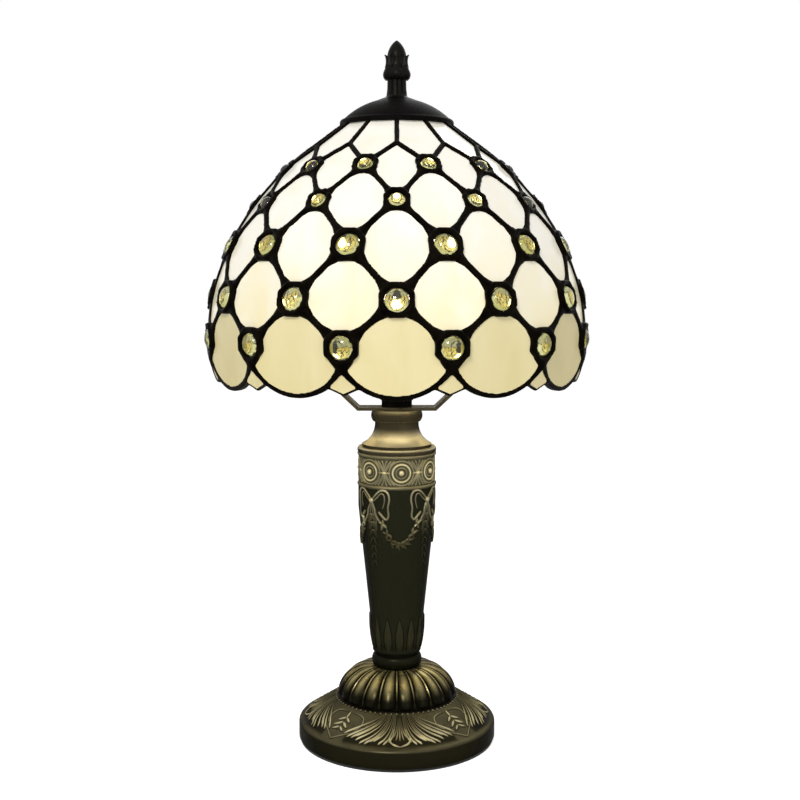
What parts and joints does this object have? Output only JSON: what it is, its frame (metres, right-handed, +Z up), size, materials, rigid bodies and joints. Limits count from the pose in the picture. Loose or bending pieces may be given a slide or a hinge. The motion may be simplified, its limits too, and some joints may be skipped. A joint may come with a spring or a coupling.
{
  "type": "leaded glass table lamp",
  "caption": "Table lamp with a domed shade of opal glass panes and round glass jewels in dark solder seams, on a cast bronze-finished column and round foot.",
  "frame": {"origin": "middle of the felt's resting face, on the lamp's axis", "axes": "+Z up along the lamp's axis, front of the lamp towards -Y, cord inlet towards +Y"},
  "size_m": [0.1998, 0.1998, 0.3715],
  "materials": {
    "felt": "dark felt",
    "bronze": "antique bronze, rubbed back to gold on the high spots",
    "bronze_strip": "bronzed steel strip",
    "iron": "raw cast iron",
    "steel": "zinc-plated steel",
    "brass": "plain brass",
    "black_plastic": "black phenolic moulding",
    "porcelain": "white lampholder porcelain",
    "solder": "tin solder",
    "dark_glass": "black vitrite glass",
    "nickel": "nickel-plated screw cap",
    "frosted_glass": "frosted bulb glass, lit",
    "black_metal": "satin black paint",
    "opal_glass": "cream opal sheet glass, lit from inside",
    "amber_glass": "olive amber pressed glass, faceted behind",
    "seam_solder": "solder with black patina"
  },
  "bodies": {
    "base": {"felt_pad": "felt", "foot_casting": "bronze", "ballast_plate": "iron", "clamp_washer": "steel", "clamp_nut": "steel", "threaded_tube": "steel", "cord_bushing": "black_plastic", "column_casting": "bronze", "neck_cap": "bronze", "harp": "bronze_strip", "harp_nut": "bronze_strip", "shade_post": "brass", "post_nut": "brass", "holder_cap": "black_plastic", "holder_shell": "black_plastic", "holder_core": "porcelain", "centre_contact": "brass", "screw_shell": "brass"},
    "bulb": {"bulb_tip": "solder", "bulb_insulator": "dark_glass", "bulb_screw_cap": "nickel", "bulb_globe": "frosted_glass"},
    "shade": {"crown_ring": "seam_solder", "shade_cap": "black_metal", "crown_panes": "opal_glass", "first_panes": "opal_glass", "second_panes": "opal_glass", "third_panes": "opal_glass", "fourth_panes": "opal_glass", "scallop_panes": "opal_glass", "rim_wedge_panes": "opal_glass", "first_jewels": "amber_glass", "second_jewels": "amber_glass", "third_jewels": "amber_glass", "fourth_jewels": "amber_glass", "fifth_jewels": "amber_glass", "solder_net": "seam_solder"},
    "finial": {"finial": "black_metal"}
  },
  "joints": [
    {"name": "shade_turn", "type": "hinge", "parent": "base", "child": "shade", "pos_m": [0, 0, 0.3413], "axis": [0, 0, 1], "continuous": true},
    {"name": "bulb_turn", "type": "hinge", "parent": "base", "child": "bulb", "pos_m": [0, 0, 0.217], "axis": [0, 0, 1], "continuous": true},
    {"name": "finial_turn", "type": "hinge", "parent": "base", "child": "finial", "pos_m": [0, 0, 0.3425], "axis": [0, 0, 1], "continuous": true}
  ]
}
